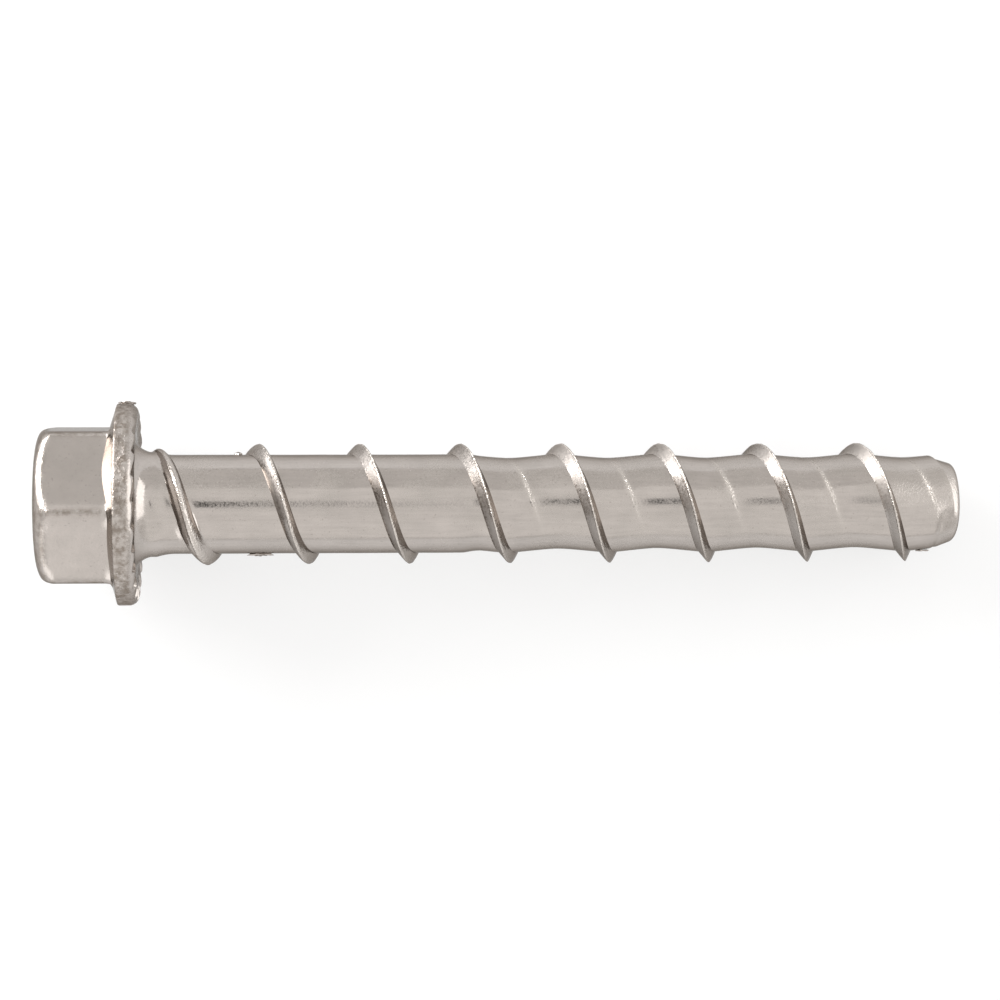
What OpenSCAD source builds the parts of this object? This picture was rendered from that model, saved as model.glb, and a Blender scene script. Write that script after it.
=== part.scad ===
// Concrete screw: hexagon head, washer flange with ratchet teeth under it, neck and a coarse rolled thread.
// Millimetres. The screw is drawn along its own +Z, with its seat under the flange at z = 0 and the tip at +Z.
// layout() then lays it on the table along +X, resting on the rim of the flange and on a thread crest.

/* [Head] */
// Width across the flats of the hexagon
hex_flats = 18.6; // [17:0.1:20.5]
// Height from the end of the head to the seat under the flange
head_h = 12.4; // [10.5:0.1:16]
// Radius of the rounded crown at the end of the head
crown_r = 4; // [2:0.1:5]
// Angle of one hexagon corner from straight up, in degrees
hex_turn = 5; // [-30:0.5:30]

/* [Flange] */
// Diameter of the washer flange
flange_d = 24.8; // [24.2:0.1:30]
// Height of the straight part of the rim
rim_h = 1.35; // [0.8:0.05:2]
// Radius of the round between the rim and the seat
edge_r = 1.2; // [0.6:0.1:1.5]
// Slope of the top of the flange, in degrees
flange_slope = 20; // [10:1:28]

/* [Ratchet teeth] */
// Number of teeth under the flange
tooth_count = 24; // [16:1:32]
// Slope of a tooth's long side, in degrees
tooth_slope = 11; // [5:0.5:14]
// Width of the flat land on a tooth, in degrees round the axis
tooth_land = 3; // [2:0.5:5]

/* [Neck] */
// Diameter of the plain neck under the flange
neck_d = 12.9; // [12.7:0.1:14]
// Length of the plain neck
neck_len = 2.3; // [2:0.1:2.9]
// Radius of the fillet between the seat and the neck
neck_fillet = 3; // [2.8:0.1:4]

/* [Shank] */
// Length from the seat to the tip
shank_len = 101.6; // [70:0.1:160]
// Diameter of the core between the threads
core_d = 12.2; // [11.4:0.1:12.5]
// Distance from the seat to where the core starts to be waisted
waist_from = 40; // [10:0.5:60]
// Depth of the waist midway between two turns of the thread
waist_depth = 0.45; // [0:0.05:0.8]

/* [Thread] */
// Outside diameter over the thread
thread_d = 14.85; // [13.6:0.05:16.5]
// Advance of the thread in one turn
pitch = 12.45; // [10:0.05:16]
// Distance along the axis from a crest to the foot on the head side
flank_back = 1.1; // [0.6:0.05:1.4]
// Distance along the axis from a crest to the foot on the tip side
flank_front = 0.7; // [0.4:0.05:1]
// Width of the narrow land on the crest
crest_land = 0.14; // [0.08:0.02:0.3]
// Length over which the thread dies out before the nose
run_out = 0.65; // [0.4:0.05:3]

/* [Nose] */
// Length of the plain nose
nose_len = 2.2; // [1.8:0.1:4]
// Diameter of the nose where it starts
nose_d = 10.8; // [9:0.1:11]
// Half angle of the nose, in degrees
nose_angle = 15; // [5:1:20]
// Radius of the round at the end of the nose
nose_round = 0.9; // [0.5:0.1:1.2]
// Length of the slope that leads from the core down to the nose
nose_lead = 1; // [0.5:0.1:2]

/* [Hidden] */
$fn = 72;

// Head
corner_r = hex_flats / sqrt(3);
crown_flat_r = corner_r - 0.89 * crown_r;
// Flange: the top of the rim, and where the sloped top meets the axis of the hexagon
flange_r = flange_d / 2;
rim_top = -edge_r - rim_h;
slope_r = hex_flats / 2 - 1;
slope_top = rim_top - (flange_r - slope_r) * tan(flange_slope);
// Neck: the fillet ends a little before the shoulder
neck_r = neck_d / 2;
fillet_z = neck_len - 0.2;
fillet_foot = neck_r + neck_fillet - sqrt(neck_fillet * neck_fillet - fillet_z * fillet_z);
// Ratchet teeth
tooth_step = 360 / tooth_count;
tooth_ramp = tooth_step - tooth_land;
tooth_in = fillet_foot + 0.15;
tooth_out = flange_r + 2;
// Thread: stations along the axis, a whole number of which make one turn
core_r = core_d / 2;
crest_r = thread_d / 2;
steps = 20;
station = pitch / steps;
first_crest = neck_len - 0.1;
nose_start = shank_len - nose_len;
core_end = nose_start - nose_lead;
thread_end = core_end - run_out;
rings = floor((thread_end - 0.1 - first_crest) / station);
// Angles round one turn of the thread, measured from the crest and positive towards the head's side
back_foot = 360 * flank_back / pitch;
front_foot = -360 * flank_front / pitch;
half_land = 180 * crest_land / pitch;
gap = 360 - back_foot + front_foot;
gap_points = 17;
around = concat(
    [front_foot, (front_foot - half_land) / 2, -half_land, half_land, (back_foot + half_land) / 2],
    [for (i = [0 : gap_points - 1]) back_foot + gap * i / gap_points]
);
// Nose: the centre of the round at its end
round_z = shank_len - nose_round;
tip_flat_r = nose_d / 2 - nose_len * tan(nose_angle) - nose_round * tan(45 - nose_angle / 2);
// Rest on the table: the rim and the last whole crest that faces down are both on it
last_down = first_crest + pitch * (floor((thread_end - first_crest) / pitch + 0.25) - 0.25);
rest_a = flange_r - edge_r - crest_r;
rest_b = last_down + edge_r;
rest_tilt = atan2(rest_a, rest_b) + asin(edge_r / norm([rest_a, rest_b]));
rest_lift = (flange_r - edge_r) * cos(rest_tilt) - edge_r * sin(rest_tilt) + edge_r;
head_x = crown_flat_r * sin(rest_tilt) + (head_h - crown_r) * cos(rest_tilt) + crown_r;
tip_x = tip_flat_r * sin(rest_tilt) + round_z * cos(rest_tilt) + nose_round;
rest_shift = (head_x - tip_x) / 2;

// A number kept between 0 and 1
function unit(x) = max(0, min(1, x));

// Share of its whole height that the thread has at z: it starts at the neck and dies out before the nose
function thread_share(z) =
    z < first_crest + 0.01 ? 0 :
    unit(0.55 + 0.45 * (z - first_crest - station) / 5) * unit((core_end - z) / run_out);

// Height of the thread, from 0 at a foot to 1 on the crest, at an angle a from the crest
function flank(a) =
    a > half_land ? unit((back_foot - a) / (back_foot - half_land)) :
    a < -half_land ? unit((a - front_foot) / (-half_land - front_foot)) : 1;

// Share of the waist at an angle a from the crest: none at a foot, all of it midway, with a soft V between
function waist(a) =
    a <= back_foot ? 0 :
    let (off = 2 * (a - back_foot) / gap - 1)
    1 - (norm([off, 0.25]) - 0.25) / (norm([1, 0.25]) - 0.25);

// Radius of the core at z and at an angle a from the crest, with its waist
function core_at(z, a) = core_r - waist_depth * unit((z - waist_from) / 2) * waist(a);

// Radius of the shank at z and at an angle a from the crest: its last ring is a little wider than the nose
function shank_r(z, a) =
    z > core_end + 0.01 ? min(nose_d / 2 + 0.1, core_at(z, a)) :
    core_at(z, a) + (crest_r - core_r) * thread_share(z) * flank(a);

// One closed outline of the shank, square to the axis at z
function shank_ring(z) = [
    for (a = around)
        let (turn = 90 + 360 * (min(z, core_end) - first_crest) / pitch + a)
        [shank_r(z, a) * cos(turn), shank_r(z, a) * sin(turn), z]
];

// The hexagon with its rounded crown
module hex_head() {
    intersection() {
        translate([0, 0, -head_h])
            linear_extrude(height = head_h - edge_r)
                rotate(180 + hex_turn)
                    circle(r = corner_r, $fn = 6);
        rotate_extrude()
            union() {
                translate([0, -head_h])
                    square([crown_flat_r, head_h]);
                intersection() {
                    translate([crown_flat_r, crown_r - head_h])
                        circle(r = crown_r, $fn = 40);
                    translate([0, -head_h])
                        square([flange_r + crown_r, head_h]);
                }
                translate([0, crown_r - head_h])
                    square([crown_flat_r + crown_r, head_h - crown_r]);
            }
    }
}

// The washer flange, with a sloped top and a rounded edge below the rim
module flange() {
    rotate_extrude()
        union() {
            polygon([
                [0, slope_top], [slope_r, slope_top], [flange_r, rim_top], [flange_r, -edge_r], [0, -edge_r]
            ]);
            translate([0, -edge_r])
                square([flange_r - edge_r, edge_r]);
            intersection() {
                translate([flange_r - edge_r, -edge_r])
                    circle(r = edge_r, $fn = 24);
                translate([0, -edge_r])
                    square([flange_r, edge_r]);
            }
        }
}

// The gap in front of one tooth: a ramp that ends at a steep wall
module tooth_gap() {
    near = tooth_in * sin(tooth_ramp) * tan(tooth_slope);
    far = tooth_out * sin(tooth_ramp) * tan(tooth_slope);
    wall = [cos(tooth_ramp), sin(tooth_ramp)];
    polyhedron(
        points = [
            [tooth_in, 0, 0], [tooth_out, 0, 0],
            [tooth_in * wall[0], tooth_in * wall[1], -near], [tooth_out * wall[0], tooth_out * wall[1], -far],
            [tooth_in, 0, 1], [tooth_out, 0, 1],
            [tooth_in * wall[0], tooth_in * wall[1], 1], [tooth_out * wall[0], tooth_out * wall[1], 1]
        ],
        faces = [
            [1, 3, 2, 0], [6, 7, 5, 4], [2, 6, 4, 0], [5, 7, 3, 1], [4, 5, 1, 0], [3, 7, 6, 2]
        ]
    );
}

// The plain neck, with a fillet up to the seat
module neck() {
    rotate_extrude()
        difference() {
            translate([0, -edge_r])
                square([fillet_foot, edge_r + neck_len]);
            translate([neck_r + neck_fillet, fillet_z])
                circle(r = neck_fillet, $fn = 48);
            translate([neck_r, fillet_z])
                square([neck_fillet, neck_len]);
        }
}

// The plain nose: a taper with a rounded end, which starts inside the core
module nose() {
    rotate_extrude()
        union() {
            polygon([
                [0, core_end - 1], [nose_d / 2, core_end - 1], [nose_d / 2, nose_start],
                [tip_flat_r + nose_round * cos(nose_angle), round_z + nose_round * sin(nose_angle)],
                [tip_flat_r, round_z], [tip_flat_r, shank_len], [0, shank_len]
            ]);
            translate([tip_flat_r, round_z])
                circle(r = nose_round, $fn = 24);
        }
}

// The rolled shank: core, waist and thread as one closed skin
module shank() {
    z_list = concat(
        [neck_len - 1.2],
        [for (i = [0 : rings]) first_crest + i * station],
        [thread_end, core_end, nose_start]
    );
    many = len(around);
    last = len(z_list) - 1;
    polyhedron(
        points = [for (z = z_list) each shank_ring(z)],
        faces = concat(
            [[for (i = [0 : many - 1]) i]],
            [for (j = [0 : last - 1], i = [0 : many - 1])
                let (a = j * many + i, b = j * many + (i + 1) % many)
                each [[a, a + many, b], [b, a + many, b + many]]],
            [[for (i = [many - 1 : -1 : 0]) last * many + i]]
        )
    );
}

// Lays the screw on the table along +X
module layout() {
    translate([rest_shift, 0, rest_lift])
        rotate([0, 90 + rest_tilt, 0])
            children();
}

module screw() {
    color([0.71, 0.69, 0.67])
        layout()
            union() {
                hex_head();
                difference() {
                    flange();
                    for (i = [0 : tooth_count - 1])
                        rotate(180 + tooth_land / 2 + i * tooth_step)
                            tooth_gap();
                }
                neck();
                shank();
                nose();
            }
}

screw();
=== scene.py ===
# %% [markdown]
# # A concrete screw, made in Blender
# The object is one piece of zinc-plated steel that lies on a table: a hexagon head, a washer flange with ratchet
# teeth under it, a plain neck, a long shank with one coarse rolled thread, and a blunt nose. The imported CAD model
# is loaded first as a fixed frame. It gives the place and the size.

# %% Load the frame
import bpy, math
import numpy as np
from mathutils import Euler, Matrix, Vector, noise


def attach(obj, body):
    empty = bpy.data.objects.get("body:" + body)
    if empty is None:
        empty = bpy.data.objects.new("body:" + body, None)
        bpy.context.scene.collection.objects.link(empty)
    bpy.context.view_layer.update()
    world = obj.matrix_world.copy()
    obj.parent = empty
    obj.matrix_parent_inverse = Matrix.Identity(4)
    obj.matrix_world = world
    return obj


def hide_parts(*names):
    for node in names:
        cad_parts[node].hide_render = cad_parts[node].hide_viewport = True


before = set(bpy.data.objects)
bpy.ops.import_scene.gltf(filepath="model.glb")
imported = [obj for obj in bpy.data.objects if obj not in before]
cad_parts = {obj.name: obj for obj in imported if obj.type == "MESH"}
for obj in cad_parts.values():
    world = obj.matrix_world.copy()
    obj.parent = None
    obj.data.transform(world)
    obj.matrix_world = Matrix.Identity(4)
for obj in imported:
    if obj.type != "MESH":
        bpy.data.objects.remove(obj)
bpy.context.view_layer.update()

# %% [markdown]
# ## How the screw lies
# The screw is modelled upright along its own Z axis in millimetres, with the seat under the flange at z = 0, the
# head below it and the tip above it, because turned and rolled shapes are easiest to make round the Z axis. Only
# the finished piece is scaled to metres and laid down. It rests on the rim of its flange and on a thread crest,
# so it leans by a few degrees.

# %% The lie on the table
MM = 0.001
TIP_Z = 101.6
LEAN = math.radians(3.25776)
LIFT, SHIFT = 12.3137, -44.4385
LIE = Euler((0, math.pi / 2 + LEAN, 0))
PLACE = Vector((SHIFT, 0, LIFT)) * MM


def on_table(z):
    """The point of the screw's axis at z millimetres from the seat, as it lies, in metres."""
    return PLACE + LIE.to_matrix() @ Vector((0, 0, z * MM))


print("seat at", on_table(0), "tip at", on_table(TIP_Z))

# %% [markdown]
# ## The camera
# The photograph looks almost straight down on the screw from about a third of a metre. The field of view, the
# distance, the small tilt and the roll were worked out from where the flange, the thread crests and the tip are
# in the picture. The camera is aimed by its three axes, which is exact, and not by a constraint.

# %% Camera
VIEW_ANGLE = math.radians(20.642)
AWAY = 341.07 * MM
TILT, ROLL = math.radians(1.31), math.radians(0.171)
AIM_Z, AIM_OFF = 44.4, Vector((0.123, 0.42, 0))
along_table = Vector((math.cos(TILT), 0, math.sin(TILT)))
across_table = Vector((0, 1, 0))
to_eye = Vector((-math.sin(TILT), 0, math.cos(TILT)))
image_right = along_table * math.cos(ROLL) - across_table * math.sin(ROLL)
image_up = along_table * math.sin(ROLL) + across_table * math.cos(ROLL)
aim = on_table(AIM_Z) + AIM_OFF * MM

bpy.ops.object.select_all(action="DESELECT")
bpy.ops.object.camera_add(location=aim + to_eye * AWAY)
camera = bpy.context.object
camera.name = "camera"
camera.rotation_euler = Matrix((image_right, image_up, to_eye)).transposed().to_euler()
camera.data.angle = VIEW_ANGLE
camera.data.clip_start, camera.data.clip_end = 0.01, 10
bpy.context.scene.camera = camera
print("camera at", camera.location)

# %% [markdown]
# ## Drawing a profile and turning it
# A profile is drawn as by hand: one vertex is left of a plane, moved to the first point and extruded from point
# to point. Spin then turns the profile round the Z axis, like a lathe. The seam is merged and the normals are
# made to point outwards.

# %% Profile and spin
SEAM = 0.001


def draw_profile(name, points):
    """A chain of edges through (radius, z) points in the XZ plane."""
    bpy.ops.object.select_all(action="DESELECT")
    bpy.ops.mesh.primitive_plane_add(size=1, location=(0, 0, 0))
    piece = bpy.context.object
    piece.name = name
    bpy.ops.object.mode_set(mode="EDIT")
    bpy.ops.mesh.merge(type="CENTER")
    bpy.ops.transform.translate(value=(points[0][0], 0, points[0][1]))
    for (r0, z0), (r1, z1) in zip(points, points[1:]):
        bpy.ops.mesh.extrude_region_move(TRANSFORM_OT_translate={"value": (r1 - r0, 0, z1 - z0)})
    bpy.ops.object.mode_set(mode="OBJECT")
    return piece


def close_up():
    """Merges the doubles of the active piece and turns its faces outwards."""
    bpy.ops.object.mode_set(mode="EDIT")
    bpy.ops.mesh.select_all(action="SELECT")
    bpy.ops.mesh.remove_doubles(threshold=SEAM)
    bpy.ops.mesh.normals_make_consistent(inside=False)
    bpy.ops.object.mode_set(mode="OBJECT")


def turn(piece, columns):
    """Spins a profile right round the Z axis."""
    bpy.ops.object.mode_set(mode="EDIT")
    bpy.ops.mesh.select_all(action="SELECT")
    bpy.ops.mesh.spin(steps=columns, angle=2 * math.pi, center=(0, 0, 0), axis=(0, 0, 1))
    close_up()
    print(piece.name, len(piece.data.vertices), "vertices")


# %% [markdown]
# ## The head and the flange
# The real head is cold-forged: a round blank is upset in dies that press the six flats, the crown and the teeth.
# It could be a six-sided cylinder cut by booleans, but that leaves edges like knives. So it is made as it is
# forged. A round blank is turned with many columns, and then its vertices are pressed in to the flats, with soft
# edges. A column lies on each corner of the hexagon, and the columns are a multiple of the teeth.
#
# The profile starts in the middle of the end face. It goes over the rounded crown and along the side at the
# radius of the corners, with its points closest together at the foot, where the fillet will be.

# %% Draw the crown and the side
COLUMNS = 288
FLATS, HEAD_H, CROWN_R = 18.6, 12.4, 4.5
CORNER_R = FLATS / math.sqrt(3)
CROWN_FLAT = CORNER_R - 0.908 * CROWN_R + 0.25
FLANGE_R, RIM_TOP, EDGE_R = 12.4, -2.55, 1.2
SLOPE = math.tan(math.radians(25))
FOOT_CROWDING = 1.7


def cone_z(r):
    """Height of the sloped top of the flange at radius r, where it is steepest."""
    return RIM_TOP - (FLANGE_R - r) * SLOPE


crown_end = math.asin((CORNER_R - CROWN_FLAT) / CROWN_R)
blank = [(0, -HEAD_H)] + [(r, -HEAD_H) for r in (1.4, 2.8, 4.2, 5.3, 6.1)]
blank += [(CROWN_FLAT + CROWN_R * math.sin(a), CROWN_R * (1 - math.cos(a)) - HEAD_H)
          for a in np.linspace(0, crown_end, 30)]
side_top = blank[-1][1]
side_run = cone_z(CORNER_R) - side_top
blank += [(CORNER_R, side_top + side_run * (1 - (1 - t) ** FOOT_CROWDING)) for t in np.linspace(0, 1, 28)[1:]]
print("crown and side have", len(blank), "points")

# %% [markdown]
# Then come the sloped top of the flange, its upright rim with a rounded lower edge, the slightly dished seat, and
# the fillet to the neck. The neck ends inside the shank, so that the two can be joined.

# %% Draw the flange and turn the blank
NECK_R, FILLET_R, FILLET_Z = 6.38, 3.0, 2.1
DISH, DISH_WIDTH = 0.35, 2.2
blank += [(r, cone_z(r)) for r in np.linspace(CORNER_R, FLANGE_R - 0.22, 16)[1:]]
blank += [(FLANGE_R - 0.1, RIM_TOP - 0.03), (FLANGE_R - 0.03, RIM_TOP + 0.05)]
blank += [(FLANGE_R, z) for z in np.linspace(RIM_TOP + 0.2, -EDGE_R, 8)]
blank += [(FLANGE_R - EDGE_R + EDGE_R * math.cos(a), EDGE_R * math.sin(a) - EDGE_R)
          for a in np.linspace(0, math.pi / 2, 10)[1:]]
seat_r = FLANGE_R - EDGE_R
foot = math.asin((FILLET_Z + DISH) / FILLET_R)
foot_r = NECK_R + FILLET_R - FILLET_R * math.cos(foot)
blank += [(r, -DISH * min(1, (seat_r - r) / DISH_WIDTH)) for r in np.linspace(seat_r, foot_r, 11)[1:]]
blank += [(NECK_R + FILLET_R - FILLET_R * math.cos(a), FILLET_Z - FILLET_R * math.sin(a))
          for a in np.linspace(foot, 0, 15)[1:]]
blank += [(NECK_R, 2.25), (NECK_R - 0.02, 2.36), (NECK_R - 0.1, 2.46), (5.7, 2.6), (0, 2.7)]

head = draw_profile("head", blank)
turn(head, COLUMNS)

# %% [markdown]
# A die moves all the metal at once. In code that is an array of the vertices, given by their distance from the
# axis, their angle round it and their height. As the screw lies, 90 degrees is its upper side in the photograph,
# 180 degrees faces the camera and 270 degrees is the lower side. A few soft steps and bumps shape the array.

# %% Vertices as arrays


def places(piece):
    """The vertices of a piece as an array."""
    co = np.empty(len(piece.data.vertices) * 3)
    piece.data.vertices.foreach_get("co", co)
    return co.reshape(-1, 3)


def put(piece, co):
    """Gives the vertices of a piece new places."""
    piece.data.vertices.foreach_set("co", co.ravel())
    piece.data.update()


def round_axis(co):
    """The distance of each vertex from the Z axis, its angle round it and its height."""
    return np.hypot(co[:, 0], co[:, 1]), np.arctan2(co[:, 1], co[:, 0]), co[:, 2].copy()


def unit(x):
    """x held between 0 and 1."""
    return np.clip(x, 0, 1)


def rising(x, start, over):
    """0 as far as start, and then up to 1 within the given distance."""
    return unit((x - start) / over)


def falling(x, end, over):
    """1 until the given distance before end, and then down to 0 there."""
    return unit((end - x) / over)


def bump(x, width):
    """1 at 0, falling off smoothly on both sides."""
    return np.exp(-(x / width) ** 2)


def facing(angle, at, width):
    """1 on the side of the screw that lies at an angle round the axis, in degrees, fading over width."""
    return bump(np.degrees(angle) % 360 - at, width)


def soft_min(a, b, k):
    """The smaller of two values, rounded where they cross within k."""
    h = np.maximum(k - np.abs(a - b), 0) / k
    return np.minimum(a, b) - h * h * k / 4


# %% [markdown]
# The flats are pressed first. The blank was upset a little off centre, so the slope of the flange is full on the
# upper front, where it shows as a bright patch in the photograph, and flatter elsewhere. The side is moved down or
# up to where it meets the slope, and the slope is drawn in to the flat.

# %% Press the flats
HEX_TURN = math.radians(185)
CORNER_CUT, CORNER_SOFT, CROWN_SOFT = 0.2, 0.24, 0.9
STEEP_AT, STEEP_WIDTH, LEAST_STEEP, MORE_STEEP = 150, 36, 0.58, 0.42
SLACK = 1e-3
head_co = places(head)
r, angle, z = round_axis(head_co)
from_flat = (angle - HEX_TURN) % (math.pi / 3) - math.pi / 6
flat_r = soft_min(FLATS / 2 / np.cos(from_flat), np.full_like(r, CORNER_R - CORNER_CUT), CORNER_SOFT)
steep = LEAST_STEEP + MORE_STEEP * facing(angle, STEEP_AT, STEEP_WIDTH)
foot_z = RIM_TOP - (FLANGE_R - flat_r) * SLOPE * steep

on_side = (np.abs(r - CORNER_R) < SLACK) & (z > side_top - SLACK) & (z < cone_z(CORNER_R) + SLACK)
down_side = (z - side_top) / side_run
z[on_side] = (side_top + down_side * (foot_z - side_top))[on_side]

on_slope = (r > CORNER_R + SLACK) & (r < FLANGE_R - 0.2) & (z < RIM_TOP)
out_slope = (r - CORNER_R) / (FLANGE_R - CORNER_R)
r[on_slope] = (flat_r + out_slope * (FLANGE_R - flat_r))[on_slope]
z[on_slope] = (RIM_TOP - (FLANGE_R - r) * SLOPE * steep)[on_slope]

under_die = (z < foot_z + SLACK) & ~on_slope
r[under_die] = soft_min(r, flat_r, CROWN_SOFT)[under_die]
print("across flats", 2 * r[on_side].min())

# %% [markdown]
# The die doesn't fill the feet of the six corners quite sharply. A fillet is left there, which shows in the outline
# of the head. It fades out towards the middle of each flat.

# %% Fill the feet of the corners
FOOT_FILL, FOOT_REACH, FOOT_FADE = 0.3, 0.9, 5
at_corner = FOOT_FILL * (np.abs(from_flat) / math.radians(30)) ** FOOT_FADE
near_foot = unit(1 - np.abs(z - foot_z) / FOOT_REACH) ** 2 * at_corner
r[on_side] += near_foot[on_side]
z[on_slope] -= (unit(1 - (r - flat_r) / FOOT_REACH) ** 2 * at_corner)[on_slope]
head_co[:, 0], head_co[:, 1], head_co[:, 2] = r * np.cos(angle), r * np.sin(angle), z
put(head, head_co)
print("largest fill", round(float(near_foot[on_side].max()), 2), "mm")

# %% [markdown]
# The teeth under the flange are pressed too. Each is a ramp that ends at a steep wall, so the screw turns in
# easily and is held when it is turned back. The gaps could be cut by 24 booleans, but pressing keeps the mesh
# clean: the seat's vertices are pushed down by a saw-tooth round the axis.

# %% Press the teeth
TEETH, LAND, TOOTH_SLOPE = 24, math.radians(3), math.tan(math.radians(11))
TOOTH_IN, TOOTH_FADE, TOOTH_SOFT = foot_r + 0.2, 0.6, 0.1
under_flange = (z > -EDGE_R - SLACK) & (z < 0.02) & (r > foot_r)
past_wall = (angle - math.pi - LAND / 2) % (2 * math.pi / TEETH)
ramp = np.where(past_wall < 2 * math.pi / TEETH - LAND, r * np.sin(past_wall) * TOOTH_SLOPE, 0)
depth = ramp * rising(r, TOOTH_IN, TOOTH_FADE)
z[under_flange] = soft_min(z, -depth, TOOTH_SOFT)[under_flange] + TOOTH_SOFT / 4
head_co[:, 2] = z
put(head, head_co)
print("deepest tooth gap", round(float(-z[under_flange & (r < 11)].min()), 2), "mm")

# %% [markdown]
# ## The shank
# The thread is rolled: two dies squeeze the wire so that a sharp ridge climbs along the core in coarse turns. It
# could be a coil laid on a cylinder and joined to it, but the dies move the metal of the core itself, and one swept
# skin follows that without a seam. So one pitch of the profile is drawn and the Screw modifier sweeps it round and
# up. The mesh lines then run along the thread. They lie close together at the ridge and at the fine lap line that
# rolling leaves between two turns. The ends are cut off with Bisect.

# %% Sweep the thread
PITCH, CORE_R, CREST_R = 12.45, 6.1, 7.425
FIRST_CREST = 2.2
HEAD_FLANK, TIP_FLANK = 1.15, 0.65
SHANK_FROM, SHANK_TO = 1.0, 101.5
lap_at = (PITCH - HEAD_FLANK + TIP_FLANK) / 2 - 0.45
mesh_lines = [-1.9, -1.62, -1.42, -1.27, -1.15, -1.0, -0.85, -0.68, -0.5, -0.34, -0.2, -0.11, -0.04, 0.02, 0.08,
              0.15, 0.24, 0.34, 0.44, 0.54, 0.65, 0.7, 0.85, 1.05, 1.3]
mesh_lines += list(np.linspace(1.75, lap_at - 0.36, 11))
mesh_lines += [lap_at + d for d in (-0.24, -0.17, -0.1, -0.03, 0.04, 0.11, 0.18, 0.25)]
mesh_lines += list(np.linspace(lap_at + 0.36, PITCH - 2.2, 10)) + [PITCH - 1.9]
sweep_from = FIRST_CREST - PITCH * 0.25 - PITCH

shank = draw_profile("shank", [(CORE_R, sweep_from + t) for t in mesh_lines])
sweep = shank.modifiers.new("thread", "SCREW")
sweep.axis, sweep.angle, sweep.screw_offset = "Z", 2 * math.pi, PITCH
sweep.iterations, sweep.steps, sweep.render_steps = 10, 96, 96
bpy.ops.object.modifier_apply(modifier=sweep.name)
close_up()
bpy.ops.object.mode_set(mode="EDIT")
for height, at_head in ((SHANK_FROM, True), (SHANK_TO, False)):
    bpy.ops.mesh.select_all(action="SELECT")
    bpy.ops.mesh.bisect(plane_co=(0, 0, height), plane_no=(0, 0, 1), use_fill=True, threshold=1e-5,
                        clear_inner=at_head, clear_outer=not at_head)
bpy.ops.object.mode_set(mode="OBJECT")
print("shank", len(shank.data.vertices), "vertices")

# %% [markdown]
# So far the sweep is a plain cylinder with the mesh lines in the right places. Now each vertex gets its radius from
# where it lies along the thread: how far it is from the nearest crest, how high on the screw that crest is, and how
# far past the last crest it is.

# %% Find the crests


def from_crest(angle, z):
    """Distance along the axis from the nearest crest, below 0 on the head's side."""
    crest_z = FIRST_CREST + PITCH * (angle - math.pi / 2) / (2 * math.pi)
    return (z - crest_z + PITCH / 2) % PITCH - PITCH / 2


shank_co = places(shank)
_, angle, z = round_axis(shank_co)
along = from_crest(angle, z)
crest_at = z - along
past_crest = along % PITCH
print("crests from", round(float(crest_at.min()), 1), "to", round(float(crest_at.max()), 1), "mm")

# %% [markdown]
# The ridge has a shallow flank on the head's side and a steep one on the tip's side. Its first half turn is low and
# leans towards the tip, the next half turn is fatter and blunter than the rest, and it runs out before the nose.
# The numbers are heights on the screw and distances, in millimetres, and shares of the full ridge.

# %% Raise the ridge
THREAD_END, RUN_OUT = 98.4, 0.65
FIRST_LEAN, BLUNT, FIRST_BLUNT = 0.35, 0.14, 0.4


def ridge(t, head_flank, tip_flank, blunt):
    """Height of the thread, 0 to 1, at a distance t from its crest."""
    width = np.where(t < 0, head_flank, tip_flank)
    rise = 1 - (np.sqrt(t * t + blunt ** 2) - blunt) / (np.sqrt(width * width + blunt ** 2) - blunt)
    return np.maximum(rise, 0)


first = falling(crest_at, 9.5, 5.5)
started = unit(0.42 + 0.58 * (crest_at - 2.6) / 5.2) * rising(crest_at, 0.7, 1.5)
ended = falling(crest_at, THREAD_END, RUN_OUT)
head_flank = HEAD_FLANK - 0.4 * falling(crest_at, 4.5, 1.5) + 0.25 * bump(crest_at - 7, 2.8)
tip_flank = TIP_FLANK + 0.45 * bump(crest_at - 8.8, 3.2)
blunt = BLUNT + FIRST_BLUNT * falling(crest_at, 27, 14) * rising(crest_at, 4, 3)
fat = 0.62 + 0.38 * rising(z, 4, 22)
height = ridge(along - FIRST_LEAN * first, head_flank, tip_flank, blunt) ** fat * started * ended
print("share of the shank that is ridge", round(float((height > 0).mean()), 2))

# %% [markdown]
# In the lower part the dies squeeze the core to a waist between two turns. Its profile is a rounded V. The ridge
# stands on this core.

# %% Squeeze the waist
WAIST_FROM, WAIST_FADE, WAIST = 40, 2, 0.45
across_gap = rising(past_crest, TIP_FLANK, PITCH - HEAD_FLANK - TIP_FLANK)
off_middle = np.abs(2 * across_gap - 1)
waist = 1 - (np.sqrt(off_middle ** 2 + 0.0625) - 0.25) / (math.sqrt(1.0625) - 0.25)
core = CORE_R - WAIST * waist * rising(z, WAIST_FROM, WAIST_FADE)
radius = core + (CREST_R - CORE_R) * height
print("core from", round(2 * float(core.min()), 2), "to", round(2 * float(core.max()), 2), "mm")

# %% [markdown]
# Rolling leaves marks of a few hundredths of a millimetre: a nicked crest, a broken lap line in the middle of each
# waist that is deepest on the upper front, and a slow unevenness. Smooth noise gives them, the same in every run.

# %% Marks of rolling
UPPER_FRONT = 155
NICK, LAP, LAP_WIDTH, LAP_WANDER, UNEVEN = 0.07, 0.13, 0.14, 0.16, 0.02


def grain(co, size, seed):
    """Smooth noise, about -1 to 1, with patches of the given size."""
    return np.array([noise.noise(Vector(p) / size + Vector((seed, 0, 0))) for p in co])


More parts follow.
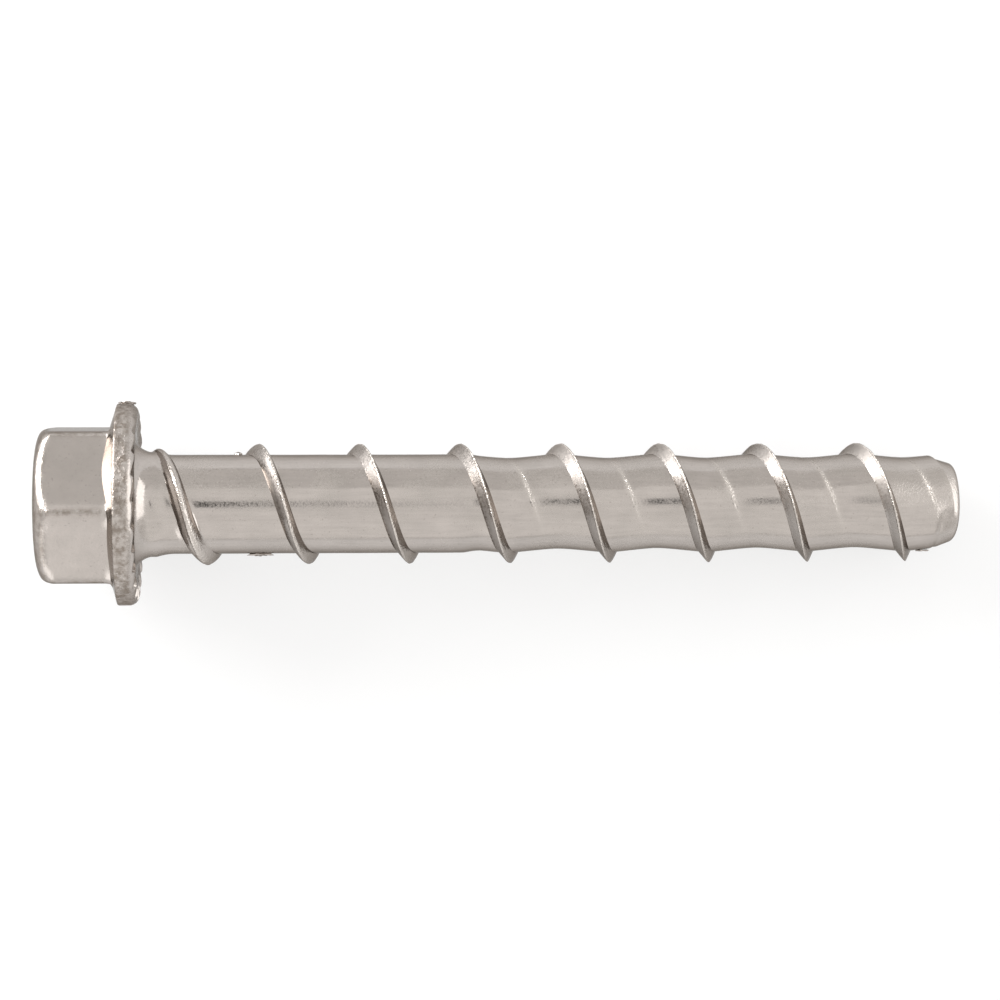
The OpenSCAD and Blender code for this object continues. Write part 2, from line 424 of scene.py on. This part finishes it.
radius += NICK * height ** 3 * grain(shank_co, 0.7, 3)
wander = LAP_WANDER * grain(shank_co, 1.1, 33)
lap_deep = 0.2 + 0.8 * facing(angle, UPPER_FRONT, 30)
lap_broken = unit(0.5 + 1.1 * grain(shank_co, 0.9, 9)) * rising(z, 38, 4)
radius -= LAP * bump(past_crest - lap_at - wander, LAP_WIDTH) * lap_deep * lap_broken
radius += UNEVEN * grain(shank_co, 5, 21)
print("noise at", len(shank_co), "vertices")

# %% [markdown]
# The start of the thread has a low shoulder on the head's side with two fine lines, and the neck runs into it. At
# the end the front and the lower side run out in a taper, and the upper side keeps its step, which is eased where
# the end will be cut.

# %% Start and end of the thread
SHOULDER, START_LINE, NECK_RUN = 0.08, 0.06, 0.36
TAPER_AT, TAPER, STEP_EASE = 262, 0.9, 0.3
CUT_AT, CUT_LEAN = 99.6, (0.17, 0.2, 1)
shoulder = np.where(along < 0, rising(along, -1.75, 0.35), unit(1 - along / tip_flank))
radius += SHOULDER * bump(crest_at - 6.0, 2.4) * shoulder
radius -= (START_LINE * first * started * rising(crest_at, 2.2, 1.2)
           * (bump(along + 0.85, 0.1) + bump(along + 0.34, 0.1)))
radius += NECK_RUN * falling(z, 4.4, 2.2) ** 2
lower_front = rising(np.cos(angle - math.radians(TAPER_AT)), -0.2, 0.7)
radius -= TAPER * lower_front * rising(z, 98.6, 2.4)
near_cut = unit((z - 98.9 + CUT_LEAN[0] * shank_co[:, 0] + CUT_LEAN[1] * shank_co[:, 1]) / 0.7)
radius -= STEP_EASE * near_cut ** 2 * unit(np.cos(angle))
shank_co[:, 0], shank_co[:, 1] = radius * np.cos(angle), radius * np.sin(angle)
put(shank, shank_co)
print("over the thread", 2 * radius.max(), "mm")

# %% [markdown]
# The dies end a little askew, so the rolled part stops at a slanting step before the nose. A second Bisect with a
# tilted plane cuts it there, and Bevel rounds the edge that the cut leaves.

# %% Cut the end
STEP_ROUND = 0.35
bpy.ops.object.select_all(action="DESELECT")
shank.select_set(True)
bpy.context.view_layer.objects.active = shank
bpy.ops.object.mode_set(mode="EDIT")
bpy.ops.mesh.select_all(action="SELECT")
bpy.ops.mesh.bisect(plane_co=(0, 0, CUT_AT), plane_no=CUT_LEAN, use_fill=True, clear_outer=True, threshold=1e-5)
bpy.ops.mesh.region_to_loop()
bpy.ops.mesh.bevel(offset=STEP_ROUND, segments=4, affect="EDGES", clamp_overlap=True)
bpy.ops.object.mode_set(mode="OBJECT")
print("shank ends at", round(max(v.co.z for v in shank.data.vertices), 2), "mm")

# %% [markdown]
# ## The nose
# The tip is the sheared and rounded end of the wire. It is a short turned taper that starts inside the shank. A
# cone primitive would do for the taper, but a drawn profile gives the rounded edge too. The shear pushed the tip a
# little to the lower side, and left the taper steeper on the upper front, where it catches the light.

# %% Turn the nose
NOSE_R, NOSE_Z, NOSE_LEN, NOSE_ROUND = 5.4, 99.4, 2.2, 0.9
TAPER_ANGLE = math.radians(15)
NOSE_PUSH, SHEAR_AT, SHEAR_WIDTH, SHEAR = 0.3, 160, 45, 0.08
tip_flat = NOSE_R - NOSE_LEN * math.tan(TAPER_ANGLE) - NOSE_ROUND * math.tan(math.pi / 4 - TAPER_ANGLE / 2)
nose_points = [(0, 97), (3, 97), (NOSE_R - 0.05, 97.2)] + [(NOSE_R, v) for v in np.linspace(97.5, NOSE_Z, 7)]
nose_points += [(tip_flat + NOSE_ROUND * math.cos(a), TIP_Z - NOSE_ROUND + NOSE_ROUND * math.sin(a))
                for a in np.linspace(TAPER_ANGLE, math.pi / 2, 12)]
nose_points += [(r_end, TIP_Z) for r_end in (3.2, 2.2, 1.1, 0)]
nose = draw_profile("nose", nose_points)
turn(nose, 144)
nose_co = places(nose)
pushed = unit(-nose_co[:, 1] / NOSE_R) * falling(nose_co[:, 2], TIP_Z, 3)
nose_co[:, 1] -= NOSE_PUSH * pushed
_, nose_angle, nose_z = round_axis(nose_co)
sheared = facing(nose_angle, SHEAR_AT, SHEAR_WIDTH) * rising(nose_z, NOSE_Z, 2)
nose_co[:, :2] *= (1 - SHEAR * sheared)[:, None]
put(nose, nose_co)

# %% [markdown]
# ## Flakes of flash
# Forging and rolling leave thin flakes of metal: one on the rim of the flange, two under the shank and a nib on top
# of it. They show in the outline, so bump in the material can't give them. Each is a small flattened ball, made
# uneven by noise, that is half sunk in the steel.

# %% Flakes


def flake(name, at_angle, at_radius, at_z, half, seed):
    """A flattened ball at an angle round the axis; half holds its half sizes outwards, around and along."""
    bpy.ops.object.select_all(action="DESELECT")
    bpy.ops.mesh.primitive_uv_sphere_add(segments=24, ring_count=14, radius=1)
    piece = bpy.context.object
    piece.name = name
    co = places(piece) * np.array(half)
    co *= (1 + 0.7 * grain(co, 0.35, seed))[:, None]
    co[:, 0] += at_radius
    turned = np.array(Matrix.Rotation(math.radians(at_angle), 3, "Z"))
    put(piece, co @ turned.T + np.array([0, 0, at_z]))
    return piece


flakes = [flake("rim_flake", 90, 12.42, -1.6, (0.24, 0.9, 0.95), 5),
          flake("lower_flake", 266, 6.22, 14.9, (0.2, 0.35, 1.4), 6),
          flake("end_flake", 270, 6.05, 97.7, (0.12, 0.4, 0.9), 7),
          flake("nib", 90, 6.14, 12.2, (0.24, 0.3, 0.42), 8)]
print("flakes", [piece.name for piece in flakes])

# %% [markdown]
# ## One piece
# The real screw is one piece, and so is this one. The shapes could be left overlapping, but then hidden faces would
# stay inside the mesh. Boolean unions make them one closed skin.
# Along the seams the unions leave slivers without area, which are merged away, and faces of many sides, which are
# split into triangles.

# %% Join
SLIVER = 0.0004
bpy.ops.object.select_all(action="DESELECT")
bpy.context.view_layer.objects.active = shank
shank.select_set(True)
for other in [nose, head] + flakes:
    weld = shank.modifiers.new("weld", "BOOLEAN")
    weld.operation, weld.solver, weld.object = "UNION", "EXACT", other
    bpy.ops.object.modifier_apply(modifier=weld.name)
    bpy.data.objects.remove(other)
bpy.ops.object.mode_set(mode="EDIT")
bpy.ops.mesh.select_all(action="SELECT")
bpy.ops.mesh.remove_doubles(threshold=SLIVER)
bpy.ops.mesh.dissolve_degenerate(threshold=SLIVER)
bpy.ops.mesh.select_mode(type="FACE")
bpy.ops.mesh.select_all(action="DESELECT")
bpy.ops.mesh.select_face_by_sides(number=4, type="GREATER")
bpy.ops.mesh.quads_convert_to_tris(ngon_method="BEAUTY")
bpy.ops.object.mode_set(mode="OBJECT")
screw = shank
screw.name = screw.data.name = "concrete_screw"
print("joined", len(screw.data.vertices), "vertices")

# %% [markdown]
# The finish isn't the same all over, and some light and shade are painted into it. Five numbers are kept at each
# vertex
# for the material to read: how far the crest is rubbed bright, with a painted highlight growing towards its upper
# front; whether it lies on the head-side flank, which gets painted shade; how far the lap lines and the tip are
# painted bright on the upper front, a little scuffing and mostly painted highlight; how much scale the forging left
# on the rim, the crown and the corners; and whether the die pressed it smooth.
# They could be painted by hand in Vertex Paint. Worked out from the place of each vertex, in millimetres, they are
# exact and come out the same each time.

# %% Marks for the finish
# The angle is where the painted highlight on the crest is brightest. The radius bounds the painted highlight at the
# shank's end.
CREST_HIGHLIGHT_AT, SCUFF_AND_HIGHLIGHT_R = 145, 6.3
CROWN_FROM = -10.6
r, angle, z = round_axis(places(screw))
along = from_crest(angle, z)
on_thread = (z > 3) & (z < 98.5)
over_core, over_crest = r - CORE_R, r - CREST_R
corner = bump(np.degrees((angle - HEX_TURN + math.pi / 6) % (math.pi / 3) - math.pi / 6), 2.2)
upper_front = facing(angle, UPPER_FRONT, 38)
# The crest is whitened a little all round as wear, and more towards the upper front as painted highlight.
crest_wear_and_highlight = 0.25 + 0.45 * facing(angle, CREST_HIGHLIGHT_AT, 55)
marks = {
    "crest": on_thread * rising(along, -0.22, 0.1) * (0.3 * rising(over_core, 0.2, 0.2)
                                                      + crest_wear_and_highlight * rising(over_crest, -0.5, 0.25)),
    # Head-side flank: this mask sets where painted shade darkens the colour, and it also makes the flanks rougher.
    "flank": on_thread * rising(over_core, 0.12, 0.15) * falling(along, 0, 0.1) * rising(z, 6, 8),
    # Lap lines, shank end and nose: nearly white on the upper front only. A little scuffing, mostly painted
    # highlight.
    "scuff_and_highlight": (upper_front * (z > WAIST_FROM) * (z < 98.5) * bump(along % PITCH - lap_at, 0.3)
                + 0.2 * upper_front * rising(z, 91, 3) * (r < SCUFF_AND_HIGHLIGHT_R)
                + 0.25 * upper_front * rising(z, 99.2, 0.6)),
    "forged": (rising(r, 12.1, 0.15) * falling(z, -0.5, 0.5)
               + 0.7 * falling(z, CROWN_FROM, 0.6) * rising(r, 5.5, 3)
               + corner * (z < -4) * (z > CROWN_FROM)),
    "pressed": (z < -2.6) * falling(r, 11, 0.3),
}
for name, values in marks.items():
    layer = screw.data.attributes.new(name, "FLOAT", "POINT")
    layer.data.foreach_set("value", values.astype(np.float32))
print("marks", {name: round(float(values.mean()), 3) for name, values in marks.items()})

# %% [markdown]
# Now the screw is scaled to metres, turned and moved to where it lies. Applying that puts the place in the mesh and
# leaves the object at the origin, as the CAD nodes are. Edges sharper than 42 degrees stay sharp.

# %% Lay down
SHARP = math.radians(42)
screw.scale = (MM, MM, MM)
screw.rotation_euler = LIE
screw.location = PLACE
bpy.ops.object.transform_apply(location=True, rotation=True, scale=True)
bpy.ops.object.shade_smooth_by_angle(angle=SHARP)
print("screw", len(screw.data.vertices), "vertices", len(screw.data.polygons), "faces")

# %% [markdown]
# ## Zinc plate
# The steel is tumbled in a barrel while zinc is plated on it. That gives a thin bright layer with a satin sheen,
# warm grey under soft light, a little cloudy, and rubbed where the pieces knock together. It could be one brushed
# metal, but then the rim, the flats and the thread would look alike. So patterns are mixed by the five marks, and
# some of them paint highlight and shade into the colour.
# Colours are written as sRGB values, and one function turns them into the linear values that Blender works with.

# %% Colour and node helpers


def linear(code):
    """A linear colour from an sRGB hex value."""
    shares = [int(code[i:i + 2], 16) / 255 for i in (1, 3, 5)]
    return tuple(c / 12.92 if c <= 0.04045 else ((c + 0.055) / 1.055) ** 2.4 for c in shares) + (1,)


def node(tree, kind, links=(), values=(), **settings):
    """Adds one node, sets its properties and inputs, and links outputs of other nodes to its inputs."""
    new = tree.nodes.new(kind)
    for key, value in settings.items():
        if hasattr(new, key):
            setattr(new, key, value)
        else:
            new.inputs[key.replace("_", " ")].default_value = value
    for socket, value in values:
        new.inputs[socket].default_value = value
    for socket, source in links:
        tree.links.new(source, new.inputs[socket])
    return new


# %% [markdown]
# The patterns are five noises with the sizes of what they stand for: clouds of 3.2 mm in the plate, drawing streaks
# 0.45 mm wide and 14 times as long, pits of 0.3 mm, forging scale of 0.9 mm, and patches of 6 mm where the sheen
# changes. Real pits and streaks are some hundredths of a millimetre. They are too fine for the picture, so they are
# drawn coarser. A Mapping node gives the patterns the screw's own axes in millimetres.

# %% Metal and its patterns
STREAK_SCALE = (1, 1, 0.07)
zinc = bpy.data.materials.new("zinc_plate")
zinc.use_nodes = True
coat = zinc.node_tree
shader = coat.nodes["Principled BSDF"]
shader.inputs["Metallic"].default_value = 1
shader.inputs["Specular Tint"].default_value = linear("#A4A09C")

place = node(coat, "ShaderNodeTexCoord")
own = node(coat, "ShaderNodeMapping", [("Vector", place.outputs["Object"])], vector_type="TEXTURE",
           Location=PLACE, Rotation=LIE, Scale=(MM, MM, MM))
drawn = node(coat, "ShaderNodeMapping", [("Vector", own.outputs[0])], Scale=STREAK_SCALE)
cloud, streak, pit, grit, patch = (
    node(coat, "ShaderNodeTexNoise", [("Vector", source.outputs[0])],
         Scale=1 / size, Detail=detail, Roughness=fineness).outputs["Fac"]
    for source, size, detail, fineness in ((own, 3.2, 4, 0.6), (drawn, 0.45, 3, 0.6), (own, 0.3, 2, 0.6),
                                           (own, 0.9, 4, 0.7), (own, 6, 2, 0.5)))
crest, flank, scuff_and_highlight, forged, pressed = (
    node(coat, "ShaderNodeAttribute", attribute_name=name).outputs["Fac"] for name in marks)
print("zinc plate reads", list(marks))

# %% [markdown]
# The colour starts as clouds and streaks between two greys, without streaks where the die pressed. Dark pits lie on
# it. The head-side flanks are darker, which is painted shade. Rubbed crests are nearly white, with a painted
# highlight towards the upper front. The lap lines and the tip are painted nearly white there too, as highlight with
# a little scuffing. Brown-grey scale covers the forged rim.

# %% Colour of the plate
PLATE_DARK, PLATE_LIGHT, PIT_DARK = linear("#AEA8A3"), linear("#BEB7B2"), linear("#7C736C")
# The second grey darkens the head-side flanks as painted shade. The near-white is wear with painted highlight.
FLANK_PAINTED_SHADE, WEAR_AND_HIGHLIGHT_WHITE, SCALE = linear("#8C8783"), linear("#E2DBD4"), linear("#8A8179")
lines = node(coat, "ShaderNodeMix", [("Factor", pressed), (2, streak)], [(3, 0.5)])
tone = node(coat, "ShaderNodeMath", [(0, cloud), (1, lines.outputs[0])], operation="ADD")
shade = node(coat, "ShaderNodeMapRange", [("Value", tone.outputs[0])], From_Min=0.6, From_Max=1.4)
plate = node(coat, "ShaderNodeMix", [("Factor", shade.outputs[0])], [(6, PLATE_DARK), (7, PLATE_LIGHT)],
             data_type="RGBA")
deep = node(coat, "ShaderNodeMapRange", [("Value", pit)], From_Min=0.64, From_Max=0.74)
spots = node(coat, "ShaderNodeMath", [(0, deep.outputs[0])], [(1, 0.35)], operation="MULTIPLY")
specked = node(coat, "ShaderNodeMix", [("Factor", spots.outputs[0]), (6, plate.outputs[2])], [(7, PIT_DARK)],
               data_type="RGBA")
# Painted shade: the head-side flanks are darkened.
flank_shade_share = node(coat, "ShaderNodeMath", [(0, flank)], [(1, 0.6)], operation="MULTIPLY")
flank_shaded = node(coat, "ShaderNodeMix", [("Factor", flank_shade_share.outputs[0]), (6, specked.outputs[2])], [(7, FLANK_PAINTED_SHADE)],
               data_type="RGBA")
# Crests, lap lines and tip turn nearly white: partly wear, partly painted highlight.
wear_and_highlight = node(coat, "ShaderNodeMath", [(0, crest), (1, scuff_and_highlight)], operation="ADD")
wear_and_highlight_share = node(coat, "ShaderNodeMath", [(0, wear_and_highlight.outputs[0]), (1, pit)], operation="MULTIPLY")
bright = node(coat, "ShaderNodeMix", [("Factor", wear_and_highlight_share.outputs[0]), (6, flank_shaded.outputs[2])], [(7, WEAR_AND_HIGHLIGHT_WHITE)],
              data_type="RGBA")
crust = node(coat, "ShaderNodeMapRange", [("Value", grit)], From_Min=0.38, From_Max=0.62)
stain = node(coat, "ShaderNodeMath", [(0, crust.outputs[0]), (1, forged)], operation="MULTIPLY")
stained = node(coat, "ShaderNodeMix", [("Factor", stain.outputs[0]), (6, bright.outputs[2])], [(7, SCALE)],
               data_type="RGBA")
coat.links.new(stained.outputs[2], shader.inputs["Base Color"])
print("colour nodes", len(coat.nodes))

# %% [markdown]
# The sheen changes in patches from satin to nearly mirror. It is even on the pressed flats and rougher on the
# forged scale and on the dull flanks.

# %% Roughness of the plate
SATIN, MIRROR, FLAT_SHEEN = 0.30, 0.08, 0.18
SCALE_ROUGHER, FLANK_ROUGHER = 0.14, 0.15
uneven = node(coat, "ShaderNodeMath", [(0, pit), (1, patch)], operation="ADD")
satin = node(coat, "ShaderNodeMapRange", [("Value", uneven.outputs[0])],
             From_Min=0.8, From_Max=1.2, To_Min=SATIN, To_Max=MIRROR)
even = node(coat, "ShaderNodeMix", [("Factor", pressed), (2, satin.outputs[0])], [(3, FLAT_SHEEN)])
rougher = node(coat, "ShaderNodeMath", [(0, forged), (2, even.outputs[0])], [(1, SCALE_ROUGHER)],
               operation="MULTIPLY_ADD")
dulled = node(coat, "ShaderNodeMath", [(0, flank), (2, rougher.outputs[0])], [(1, FLANK_ROUGHER)],
              operation="MULTIPLY_ADD")
coat.links.new(dulled.outputs[0], shader.inputs["Roughness"])
print("roughness", MIRROR, "to", SATIN)

# %% [markdown]
# The finest relief is bump, because it is far below what the mesh can hold: crusty scale on the rim, fine pits,
# deeper nicks on the scale and where the crests, the lap lines and the tip are painted bright, and the drawing
# streaks. The heights count in units of 0.03 mm.

# %% Relief of the plate
RELIEF = 0.03 * MM
CRUST_HIGH, PIT_HIGH, NICK_HIGH, STREAK_HIGH, SCALE_NICKED = 1.1, 0.25, 6, 0.07, 0.28
crusty = node(coat, "ShaderNodeMath", [(0, stain.outputs[0])], [(1, CRUST_HIGH)], operation="MULTIPLY")
pitted = node(coat, "ShaderNodeMath", [(0, pit), (2, crusty.outputs[0])], [(1, PIT_HIGH)], operation="MULTIPLY_ADD")
nicked_at = node(coat, "ShaderNodeMath", [(0, forged), (2, wear_and_highlight.outputs[0])], [(1, SCALE_NICKED)],
                 operation="MULTIPLY_ADD")
nicks = node(coat, "ShaderNodeMath", [(0, pit), (1, nicked_at.outputs[0])], operation="MULTIPLY")
nicked = node(coat, "ShaderNodeMath", [(0, nicks.outputs[0]), (2, pitted.outputs[0])], [(1, NICK_HIGH)],
              operation="MULTIPLY_ADD")
lined = node(coat, "ShaderNodeMath", [(0, lines.outputs[0]), (2, nicked.outputs[0])], [(1, STREAK_HIGH)],
             operation="MULTIPLY_ADD")
relief = node(coat, "ShaderNodeBump", [("Height", lined.outputs[0])], Strength=1.0, Distance=RELIEF)
coat.links.new(relief.outputs[0], shader.inputs["Normal"])
print("relief unit", RELIEF, "m")

# %% [markdown]
# The finished screw takes the place of the plain CAD solid, wears the zinc plate, and rides on the only body.

# %% Dress the screw
screw.data.materials.clear()
screw.data.materials.append(zinc)
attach(screw, "root")
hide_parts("screw")
print(screw.name, "wears", [material.name for material in screw.data.materials])

# %% [markdown]
# ## Floor and light
# Metal shows what is round it, so a lamp alone isn't enough and the surroundings are built. The photograph was taken
# in a light tent: white all round, with bright cloth sides, and an opening in the roof that the camera looks
# through. The floor is white paper, matt all over. For the camera and for reflections it glows a little, so it is
# white without more light on the screw, and it still takes the screw's shadow.

# %% Floor
PAPER_GLOW = 0.68
bpy.ops.object.select_all(action="DESELECT")
bpy.ops.mesh.primitive_plane_add(size=4, location=(0, 0, 0))
floor = bpy.context.object
floor.name = "floor"
paper = bpy.data.materials.new("white_paper")
paper.use_nodes = True
sheet = paper.node_tree
matt = sheet.nodes["Principled BSDF"]
matt.inputs["Base Color"].default_value = linear("#8A8A8A")
matt.inputs["Roughness"].default_value = 0.9
matt.inputs["Specular IOR Level"].default_value = 0
matt.inputs["Emission Color"].default_value = (1, 1, 1, 1)
ray = node(sheet, "ShaderNodeLightPath")
mirrored = node(sheet, "ShaderNodeMath",
                [(0, ray.outputs["Is Glossy Ray"]), (1, ray.outputs["Is Transmission Ray"])], operation="MAXIMUM")
seen = node(sheet, "ShaderNodeMath", [(0, ray.outputs["Is Camera Ray"]), (1, mirrored.outputs[0])],
            operation="MAXIMUM")
glow = node(sheet, "ShaderNodeMath", [(0, seen.outputs[0])], [(1, PAPER_GLOW)], operation="MULTIPLY")
sheet.links.new(glow.outputs[0], matt.inputs["Emission Strength"])
floor.data.materials.append(paper)
print(floor.name, "is stage")

# %% [markdown]
# The world is the white cloth. Its opening is a dark rectangle with soft edges round the camera's direction, and
# the screw mirrors it as the row of dark dashes along the middle of the shank. A direction's X and Y divided by
# its Z say how far it leans from straight up.

# %% Tent
CLOTH, OPENING = 1.0, 0.02
world = bpy.data.worlds.new("tent")
bpy.context.scene.world = world
world.use_nodes = True
tent = world.node_tree
sky = tent.nodes["Background"]
sky.inputs["Color"].default_value = linear("#EFEDEA")
way = node(tent, "ShaderNodeTexCoord")
toward = node(tent, "ShaderNodeSeparateXYZ", [(0, way.outputs["Generated"])])
inside = []
for axis, shift, inner, outer in (("X", 0.08, 0.11, 0.15), ("Y", 0.0, 0.10, 0.14)):
    leans = node(tent, "ShaderNodeMath", [(0, toward.outputs[axis]), (1, toward.outputs["Z"])], operation="DIVIDE")
    offset = node(tent, "ShaderNodeMath", [(0, leans.outputs[0])], [(1, shift)], operation="ADD")
    aside = node(tent, "ShaderNodeMath", [(0, offset.outputs[0])], operation="ABSOLUTE")
    inside.append(node(tent, "ShaderNodeMapRange", [("Value", aside.outputs[0])],
                       From_Min=inner, From_Max=outer, To_Min=1.0, To_Max=0.0))
hole = node(tent, "ShaderNodeMath", [(0, inside[0].outputs[0]), (1, inside[1].outputs[0])], operation="MULTIPLY")
cloth = node(tent, "ShaderNodeMapRange", [("Value", hole.outputs[0])], To_Min=CLOTH, To_Max=OPENING)
tent.links.new(cloth.outputs[0], sky.inputs["Strength"])
print("tent with", len(tent.nodes), "nodes")

# %% [markdown]
# The lamps are soft boxes. The left one gives the bright patches on the flange and on the upper flanks, the right
# one those on the fillet and the nose, and the roof and the front only lift the greys. Each is given by its glow,
# so its size can change without its brightness in a reflection changing.

# %% Lamps


def softbox(name, at, aimed_at, size, radiance):
    """A rectangle of light with an even glow: its power follows from its area."""
    bpy.ops.object.light_add(type="AREA", location=at)
    lamp = bpy.context.object
    lamp.name = name
    lamp.data.shape = "RECTANGLE"
    lamp.data.size, lamp.data.size_y = size
    lamp.data.energy = radiance * math.pi * size[0] * size[1]
    lamp.rotation_euler = (Vector(at) - Vector(aimed_at)).to_track_quat("Z", "Y").to_euler()
    print(name, round(lamp.data.energy, 3), "W")


softbox("left_box", (-0.343, 0.214, 0.17), (-0.02, 0, 0.17), (0.28, 0.34), 12.0)
softbox("left_fill", (-0.25, -0.41, 0.10), (-0.05, 0, 0.01), (0.30, 0.20), 0.92)
softbox("right_box", (0.54, 0.13, 0.25), (0, 0.13, 0.01), (0.7, 0.46), 1.4)
softbox("roof_above", (0, 0.215, 0.5), (0, 0.215, 0), (1.2, 0.33), 0.24)
softbox("roof_below", (0, -0.248, 0.5), (0, -0.248, 0), (1.2, 0.404), 0.22)
softbox("roof_right", (0.3, 0.002, 0.5), (0.3, 0.002, 0), (0.60, 0.096), 0.24)
softbox("roof_left", (-0.36, 0.002, 0.5), (-0.36, 0.002, 0), (0.48, 0.096), 0.24)
softbox("front", (0, -0.85, 0.42), (0, 0, 0.0), (1.2, 0.75), 0.25)
bpy.context.scene.view_settings.view_transform = "Standard"
